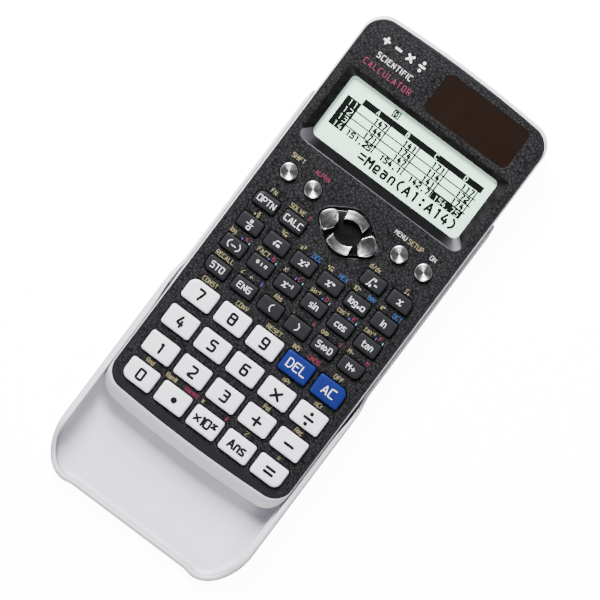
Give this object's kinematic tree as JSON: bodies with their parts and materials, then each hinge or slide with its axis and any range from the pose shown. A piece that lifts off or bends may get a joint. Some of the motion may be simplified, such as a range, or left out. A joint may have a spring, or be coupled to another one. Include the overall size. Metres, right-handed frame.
{
  "type": "scientific calculator",
  "caption": "Pocket scientific calculator with display, solar panel, cursor pad and pressable keys, held in a hard cover that slides along its sides.",
  "frame": {"origin": "middle of the calculator's body in plan, on the plane that the cover's flat underside rests on", "axes": "+X along the key rows to the user's right, +Y along the body towards the display, +Z out of the face"},
  "size_m": [0.082, 0.1984, 0.0147],
  "materials": {
    "case_plastic": "smooth white moulding, soft sheen",
    "cover_plastic": "smooth pale grey moulding, slightly translucent",
    "face_plastic": "charcoal, fine leather grain",
    "clear_window": "clear and glossy",
    "lcd_glass": "pale grey-green liquid crystal display",
    "solar_glass": "dark brown, glossy",
    "rubber_sheet": "plain silicone rubber",
    "circuit_board": "green laminate",
    "cell_steel": "bright steel can",
    "screw_steel": "bright steel",
    "plated_plastic": "satin silver plating",
    "black_key": "black, satin",
    "white_key": "off-white, satin",
    "blue_key": "royal blue, satin"
  },
  "bodies": {
    "case": {"rear_shell": "case_plastic", "front_case": "case_plastic", "face_plate": "face_plastic", "display_window": "clear_window", "lcd_panel": "lcd_glass", "solar_cell": "solar_glass", "key_mat": "rubber_sheet", "circuit_board": "circuit_board", "coin_cell": "cell_steel"},
    "slide_cover": {"slide_cover": "cover_plastic"},
    "battery_cover": {"battery_cover": "case_plastic"},
    "battery_cover_screw": {"battery_cover_screw": "screw_steel"},
    "cursor_pivot": {"cursor_pivot": "rubber_sheet"},
    "cursor_pad": {"cursor_pad": "plated_plastic"},
    "key_shift": {"key_shift": "plated_plastic"},
    "key_optn": {"key_optn": "black_key"},
    "key_calc": {"key_calc": "black_key"},
    "key_7": {"key_7": "white_key"},
    "key_delete": {"key_delete": "blue_key"},
    "key_clear": {"key_clear": "blue_key"},
    "key_0": {"key_0": "white_key"},
    "key_equals": {"key_equals": "white_key"},
    "key_sin": {"key_sin": "black_key"},
    "key_integral": {"key_integral": "black_key"},
    "key_alpha": {"key_alpha": "plated_plastic"},
    "key_menu": {"key_menu": "plated_plastic"},
    "key_on": {"key_on": "plated_plastic"},
    "key_variable_x": {"key_variable_x": "black_key"},
    "key_fraction": {"key_fraction": "black_key"},
    "key_root": {"key_root": "black_key"},
    "key_square": {"key_square": "black_key"},
    "key_power": {"key_power": "black_key"},
    "key_log": {"key_log": "black_key"},
    "key_ln": {"key_ln": "black_key"},
    "key_negative": {"key_negative": "black_key"},
    "key_degrees": {"key_degrees": "black_key"},
    "key_reciprocal": {"key_reciprocal": "black_key"},
    "key_cos": {"key_cos": "black_key"},
    "key_tan": {"key_tan": "black_key"},
    "key_store": {"key_store": "black_key"},
    "key_eng": {"key_eng": "black_key"},
    "key_bracket_open": {"key_bracket_open": "black_key"},
    "key_bracket_close": {"key_bracket_close": "black_key"},
    "key_format": {"key_format": "black_key"},
    "key_memory_plus": {"key_memory_plus": "black_key"},
    "key_8": {"key_8": "white_key"},
    "key_9": {"key_9": "white_key"},
    "key_4": {"key_4": "white_key"},
    "key_5": {"key_5": "white_key"},
    "key_6": {"key_6": "white_key"},
    "key_multiply": {"key_multiply": "white_key"},
    "key_divide": {"key_divide": "white_key"},
    "key_1": {"key_1": "white_key"},
    "key_2": {"key_2": "white_key"},
    "key_3": {"key_3": "white_key"},
    "key_plus": {"key_plus": "white_key"},
    "key_minus": {"key_minus": "white_key"},
    "key_point": {"key_point": "white_key"},
    "key_exponent": {"key_exponent": "white_key"},
    "key_answer": {"key_answer": "white_key"}
  },
  "joints": [
    {"name": "cover_slide", "type": "slide", "parent": "case", "child": "slide_cover", "axis": [0, -1, 0], "range_m": [-0.026, 0.13]},
    {"name": "cursor_rock_up_down", "type": "hinge", "parent": "case", "child": "cursor_pivot", "pos_m": [0, 0.0128, 0.01], "axis": [1, 0, 0], "range_deg": [-4, 4], "stiffness_Nm_per_rad": 0.01, "deforming": ["key_mat"]},
    {"name": "cursor_rock_left_right", "type": "hinge", "parent": "cursor_pivot", "child": "cursor_pad", "pos_m": [0, 0.0128, 0.01], "axis": [0, 1, 0], "range_deg": [-4, 4], "stiffness_Nm_per_rad": 0.01, "deforming": ["key_mat"]},
    {"name": "battery_cover_pull", "type": "slide", "parent": "case", "child": "battery_cover", "axis": [0, 0, -1], "range_m": [0, 0.012]},
    {"name": "battery_screw_turn", "type": "hinge", "parent": "battery_cover", "child": "battery_cover_screw", "pos_m": [-0.0076, 0.0714, 0.0019], "axis": [0, 0, -1], "continuous": true},
    {"name": "press_shift", "type": "slide", "parent": "case", "child": "key_shift", "axis": [0, 0, -1], "range_m": [0, 0.001], "stiffness_N_per_m": 60, "deforming": ["key_mat"]},
    {"name": "press_optn", "type": "slide", "parent": "case", "child": "key_optn", "axis": [0, 0, -1], "range_m": [0, 0.001], "stiffness_N_per_m": 60, "deforming": ["key_mat"]},
    {"name": "press_calc", "type": "slide", "parent": "case", "child": "key_calc", "axis": [0, 0, -1], "range_m": [0, 0.001], "stiffness_N_per_m": 60, "deforming": ["key_mat"]},
    {"name": "press_7", "type": "slide", "parent": "case", "child": "key_7", "axis": [0, 0, -1], "range_m": [0, 0.001], "stiffness_N_per_m": 60, "deforming": ["key_mat"]},
    {"name": "press_delete", "type": "slide", "parent": "case", "child": "key_delete", "axis": [0, 0, -1], "range_m": [0, 0.001], "stiffness_N_per_m": 60, "deforming": ["key_mat"]},
    {"name": "press_clear", "type": "slide", "parent": "case", "child": "key_clear", "axis": [0, 0, -1], "range_m": [0, 0.001], "stiffness_N_per_m": 60, "deforming": ["key_mat"]},
    {"name": "press_0", "type": "slide", "parent": "case", "child": "key_0", "axis": [0, 0, -1], "range_m": [0, 0.001], "stiffness_N_per_m": 60, "deforming": ["key_mat"]},
    {"name": "press_equals", "type": "slide", "parent": "case", "child": "key_equals", "axis": [0, 0, -1], "range_m": [0, 0.001], "stiffness_N_per_m": 60, "deforming": ["key_mat"]},
    {"name": "press_sin", "type": "slide", "parent": "case", "child": "key_sin", "axis": [0, 0, -1], "range_m": [0, 0.001], "stiffness_N_per_m": 60, "deforming": ["key_mat"]},
    {"name": "press_integral", "type": "slide", "parent": "case", "child": "key_integral", "axis": [0, 0, -1], "range_m": [0, 0.001], "stiffness_N_per_m": 60, "deforming": ["key_mat"]},
    {"name": "press_alpha", "type": "slide", "parent": "case", "child": "key_alpha", "axis": [0, 0, -1], "range_m": [0, 0.001], "stiffness_N_per_m": 60, "deforming": ["key_mat"]},
    {"name": "press_menu", "type": "slide", "parent": "case", "child": "key_menu", "axis": [0, 0, -1], "range_m": [0, 0.001], "stiffness_N_per_m": 60, "deforming": ["key_mat"]},
    {"name": "press_on", "type": "slide", "parent": "case", "child": "key_on", "axis": [0, 0, -1], "range_m": [0, 0.001], "stiffness_N_per_m": 60, "deforming": ["key_mat"]},
    {"name": "press_variable_x", "type": "slide", "parent": "case", "child": "key_variable_x", "axis": [0, 0, -1], "range_m": [0, 0.001], "stiffness_N_per_m": 60, "deforming": ["key_mat"]},
    {"name": "press_fraction", "type": "slide", "parent": "case", "child": "key_fraction", "axis": [0, 0, -1], "range_m": [0, 0.001], "stiffness_N_per_m": 60, "deforming": ["key_mat"]},
    {"name": "press_root", "type": "slide", "parent": "case", "child": "key_root", "axis": [0, 0, -1], "range_m": [0, 0.001], "stiffness_N_per_m": 60, "deforming": ["key_mat"]},
    {"name": "press_square", "type": "slide", "parent": "case", "child": "key_square", "axis": [0, 0, -1], "range_m": [0, 0.001], "stiffness_N_per_m": 60, "deforming": ["key_mat"]},
    {"name": "press_power", "type": "slide", "parent": "case", "child": "key_power", "axis": [0, 0, -1], "range_m": [0, 0.001], "stiffness_N_per_m": 60, "deforming": ["key_mat"]},
    {"name": "press_log", "type": "slide", "parent": "case", "child": "key_log", "axis": [0, 0, -1], "range_m": [0, 0.001], "stiffness_N_per_m": 60, "deforming": ["key_mat"]},
    {"name": "press_ln", "type": "slide", "parent": "case", "child": "key_ln", "axis": [0, 0, -1], "range_m": [0, 0.001], "stiffness_N_per_m": 60, "deforming": ["key_mat"]},
    {"name": "press_negative", "type": "slide", "parent": "case", "child": "key_negative", "axis": [0, 0, -1], "range_m": [0, 0.001], "stiffness_N_per_m": 60, "deforming": ["key_mat"]},
    {"name": "press_degrees", "type": "slide", "parent": "case", "child": "key_degrees", "axis": [0, 0, -1], "range_m": [0, 0.001], "stiffness_N_per_m": 60, "deforming": ["key_mat"]},
    {"name": "press_reciprocal", "type": "slide", "parent": "case", "child": "key_reciprocal", "axis": [0, 0, -1], "range_m": [0, 0.001], "stiffness_N_per_m": 60, "deforming": ["key_mat"]},
    {"name": "press_cos", "type": "slide", "parent": "case", "child": "key_cos", "axis": [0, 0, -1], "range_m": [0, 0.001], "stiffness_N_per_m": 60, "deforming": ["key_mat"]},
    {"name": "press_tan", "type": "slide", "parent": "case", "child": "key_tan", "axis": [0, 0, -1], "range_m": [0, 0.001], "stiffness_N_per_m": 60, "deforming": ["key_mat"]},
    {"name": "press_store", "type": "slide", "parent": "case", "child": "key_store", "axis": [0, 0, -1], "range_m": [0, 0.001], "stiffness_N_per_m": 60, "deforming": ["key_mat"]},
    {"name": "press_eng", "type": "slide", "parent": "case", "child": "key_eng", "axis": [0, 0, -1], "range_m": [0, 0.001], "stiffness_N_per_m": 60, "deforming": ["key_mat"]},
    {"name": "press_bracket_open", "type": "slide", "parent": "case", "child": "key_bracket_open", "axis": [0, 0, -1], "range_m": [0, 0.001], "stiffness_N_per_m": 60, "deforming": ["key_mat"]},
    {"name": "press_bracket_close", "type": "slide", "parent": "case", "child": "key_bracket_close", "axis": [0, 0, -1], "range_m": [0, 0.001], "stiffness_N_per_m": 60, "deforming": ["key_mat"]},
    {"name": "press_format", "type": "slide", "parent": "case", "child": "key_format", "axis": [0, 0, -1], "range_m": [0, 0.001], "stiffness_N_per_m": 60, "deforming": ["key_mat"]},
    {"name": "press_memory_plus", "type": "slide", "parent": "case", "child": "key_memory_plus", "axis": [0, 0, -1], "range_m": [0, 0.001], "stiffness_N_per_m": 60, "deforming": ["key_mat"]},
    {"name": "press_8", "type": "slide", "parent": "case", "child": "key_8", "axis": [0, 0, -1], "range_m": [0, 0.001], "stiffness_N_per_m": 60, "deforming": ["key_mat"]},
    {"name": "press_9", "type": "slide", "parent": "case", "child": "key_9", "axis": [0, 0, -1], "range_m": [0, 0.001], "stiffness_N_per_m": 60, "deforming": ["key_mat"]},
    {"name": "press_4", "type": "slide", "parent": "case", "child": "key_4", "axis": [0, 0, -1], "range_m": [0, 0.001], "stiffness_N_per_m": 60, "deforming": ["key_mat"]},
    {"name": "press_5", "type": "slide", "parent": "case", "child": "key_5", "axis": [0, 0, -1], "range_m": [0, 0.001], "stiffness_N_per_m": 60, "deforming": ["key_mat"]},
    {"name": "press_6", "type": "slide", "parent": "case", "child": "key_6", "axis": [0, 0, -1], "range_m": [0, 0.001], "stiffness_N_per_m": 60, "deforming": ["key_mat"]},
    {"name": "press_multiply", "type": "slide", "parent": "case", "child": "key_multiply", "axis": [0, 0, -1], "range_m": [0, 0.001], "stiffness_N_per_m": 60, "deforming": ["key_mat"]},
    {"name": "press_divide", "type": "slide", "parent": "case", "child": "key_divide", "axis": [0, 0, -1], "range_m": [0, 0.001], "stiffness_N_per_m": 60, "deforming": ["key_mat"]},
    {"name": "press_1", "type": "slide", "parent": "case", "child": "key_1", "axis": [0, 0, -1], "range_m": [0, 0.001], "stiffness_N_per_m": 60, "deforming": ["key_mat"]},
    {"name": "press_2", "type": "slide", "parent": "case", "child": "key_2", "axis": [0, 0, -1], "range_m": [0, 0.001], "stiffness_N_per_m": 60, "deforming": ["key_mat"]},
    {"name": "press_3", "type": "slide", "parent": "case", "child": "key_3", "axis": [0, 0, -1], "range_m": [0, 0.001], "stiffness_N_per_m": 60, "deforming": ["key_mat"]},
    {"name": "press_plus", "type": "slide", "parent": "case", "child": "key_plus", "axis": [0, 0, -1], "range_m": [0, 0.001], "stiffness_N_per_m": 60, "deforming": ["key_mat"]},
    {"name": "press_minus", "type": "slide", "parent": "case", "child": "key_minus", "axis": [0, 0, -1], "range_m": [0, 0.001], "stiffness_N_per_m": 60, "deforming": ["key_mat"]},
    {"name": "press_point", "type": "slide", "parent": "case", "child": "key_point", "axis": [0, 0, -1], "range_m": [0, 0.001], "stiffness_N_per_m": 60, "deforming": ["key_mat"]},
    {"name": "press_exponent", "type": "slide", "parent": "case", "child": "key_exponent", "axis": [0, 0, -1], "range_m": [0, 0.001], "stiffness_N_per_m": 60, "deforming": ["key_mat"]},
    {"name": "press_answer", "type": "slide", "parent": "case", "child": "key_answer", "axis": [0, 0, -1], "range_m": [0, 0.001], "stiffness_N_per_m": 60, "deforming": ["key_mat"]}
  ]
}
